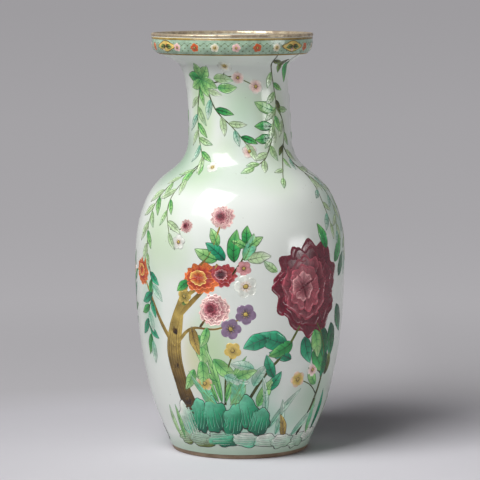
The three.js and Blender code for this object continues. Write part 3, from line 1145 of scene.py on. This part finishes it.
plum_blossoms(
    "small_blossoms",
    (-10, 398, 8, CREAM), (21, 377, 8, PINK), (2, 386, 7, PINK), (-26, 296, 7, CREAM),
    (10, 312, 8, PINK), (-35, 224, 8, ("blush", "white", "white")), (3, 154, 11, MAUVE),
    (-5, 139, 11, MAUVE), (-31, 170, 8, ("olive", "ochre", "yellow")),
    (-4, 117, 9, ("ochre", "yellow", "yellow")), (-21, 82, 9, BUTTER), (36, 84, 9, BUTTER),
    (47, 92, 8, PINK), (3, 182, 12, ("blush", "white", "white")), (2, 200, 8, ("rose", "pink", "pink")),
    (204, 388, 8, PINK), (222, 256, 10, ("pink", "white", "white")), (214, 120, 10, MAUVE),
    (120, 102, 10, BUTTER), (-122, 242, 9, CREAM), (-84, 188, 10, PINK),
)
butterfly("butterfly", (212, 292), -25)
for piece in Enamel.pieces:
    piece.finish()


# Stage, lights and camera

FLOOR_REACH = 200
FLOOR_CENTRE = (0, -0.35, 0)
# Painted light on the floor: colours by their distance in metres from a place in front of the vase,
# brightest near it.
FLOOR_PAINTED_LIGHT = (
    (0.15, "d2d0d5"), (0.28, "cfcdd2"), (0.42, "c8c6cb"), (0.58, "c0bec3"), (0.72, "b4b2b5"),
    (0.92, "b2b0b3"), (1.4, "adabae"), (2.6, "a7a5a8"), (6.0, "a4a2a5"), (30.0, "9e9c9f"),
)
# The floor's own colour over the colour seen, which makes up for the lamp's fall in strength:
# metres from the place under the lamp, and the gain there.
UNDER_LAMP = (-0.71, -0.74, 0)
FLOOR_GAIN = (0.3, 0.76, 2.0, 1.75)
# Painted light: a faint streak of light bounced off the vase onto the floor behind it. Its middle
# once the floor is stretched, the stretch, and its gain in the middle and at its end, 0.9 m away.
PAINTED_BOUNCE_MIDDLE, PAINTED_BOUNCE_STRETCH = (1.5, 0.9, 0), (9, 1, 1)
PAINTED_BOUNCE_GAIN = (0, 1.12, 0.9, 1)
# Between these distances the floor goes over from the lamps' light to its own brightness.
FLOOR_NEAR, FLOOR_FAR = 0.55, 1.5
AMBIENT = (0.032, 0.031, 0.033)


def floor_material():
    """Paper painted with light; its far part glows with that colour beyond the lamp's reach."""
    s = Shader("pale_floor", Roughness=0.9)
    reach, from_lamp = s.distance(FLOOR_CENTRE), s.distance(UNDER_LAMP)
    squeezed = s.math("DIVIDE", reach, s.math("ADD", reach, 1.0))
    # The colour ramp is painted light on the paper, brightest near the vase.
    paper_and_painted_light = s.node("ShaderNodeValToRGB", "Color", {"Fac": squeezed})
    stops = paper_and_painted_light.node.color_ramp.elements
    for i, (metres, text) in enumerate(FLOOR_PAINTED_LIGHT):
        stop = stops[i] if i < 2 else stops.new(1.0)
        stop.position = metres / (metres + 1)
        stop.color = (*srgb(text), 1)
    # A painted streak of light bounced off the vase brightens the floor's colour behind it.
    painted_bounce = s.grey(s.ramp(s.distance(PAINTED_BOUNCE_MIDDLE, PAINTED_BOUNCE_STRETCH), *PAINTED_BOUNCE_GAIN))
    paper_and_painted_light = s.mix(1.0, paper_and_painted_light, painted_bounce, "MULTIPLY")
    s.color(s.mix(1.0, paper_and_painted_light, s.grey(s.ramp(from_lamp, *FLOOR_GAIN)), "MULTIPLY"))
    s.rough(20, 3, 0.3, 0.85, 0.7, 0.95)
    far = s.math("MULTIPLY", s.ramp(reach, FLOOR_NEAR, 0, FLOOR_FAR, 1), s.seen())
    # Far off, the floor glows with this painted colour for the rays that see it.
    plain = s.node("ShaderNodeEmission", "Emission", {"Color": paper_and_painted_light})
    inputs = {0: far, 1: s.surface.outputs["BSDF"], 2: plain}
    blend = s.node("ShaderNodeMixShader", "Shader", inputs)
    s.put(blend, s.tree.nodes["Material Output"].inputs["Surface"])
    return s.material


def aim(thing, place, target):
    thing.location = place
    thing.rotation_euler = (Vector(target) - Vector(place)).to_track_quat("-Z", "Y").to_euler()
    bpy.context.scene.collection.objects.link(thing)


def softbox(name, azimuth, elevation, distance, size, power):
    """An area lamp towards the vase, its azimuth turned from the front to the right."""
    lamp = bpy.data.lights.new(name, "AREA")
    lamp.shape = "RECTANGLE"
    lamp.size, lamp.size_y = size
    lamp.energy = power
    a, e = math.radians(azimuth), math.radians(elevation)
    out = Vector((math.sin(a) * math.cos(e), -math.cos(a) * math.cos(e), math.sin(e)))
    centre = Vector((0, 0, 0.2))
    aim(bpy.data.objects.new(name, lamp), centre + out * distance, centre)


def dim_studio():
    """A world that gives little light, and shows the far floor's colour where it is seen."""
    world = bpy.data.worlds.new("studio")
    bpy.context.scene.world = world
    world.use_nodes = True
    nodes = Nodes(world.node_tree)
    shown = nodes.mix(nodes.seen(), AMBIENT, srgb(FLOOR_PAINTED_LIGHT[-1][1]))
    nodes.put(shown, world.node_tree.nodes["Background"].inputs["Color"])


corners = FLOOR_REACH * np.array([(-1, -1, 0), (1, -1, 0), (1, 1, 0), (-1, 1, 0)])
floor = add_mesh("floor", corners, [(0, 1, 2, 3)], floor_material())
softbox("key_softbox", -44, 50, 1.6, (0.9, 1.15), 32.4)
softbox("reflector", 66, 3, 2.4, (1.0, 0.52), 11.2)
dim_studio()

camera = bpy.data.cameras.new("camera")
camera.lens = 174
camera.sensor_width = 36
camera.clip_start, camera.clip_end = 0.05, 500
view = bpy.data.objects.new("camera", camera)
aim(view, (0, -2.384, 0.489), (0, 0, 0.216))
bpy.context.scene.camera = view
bpy.context.scene.view_settings.view_transform = "Standard"
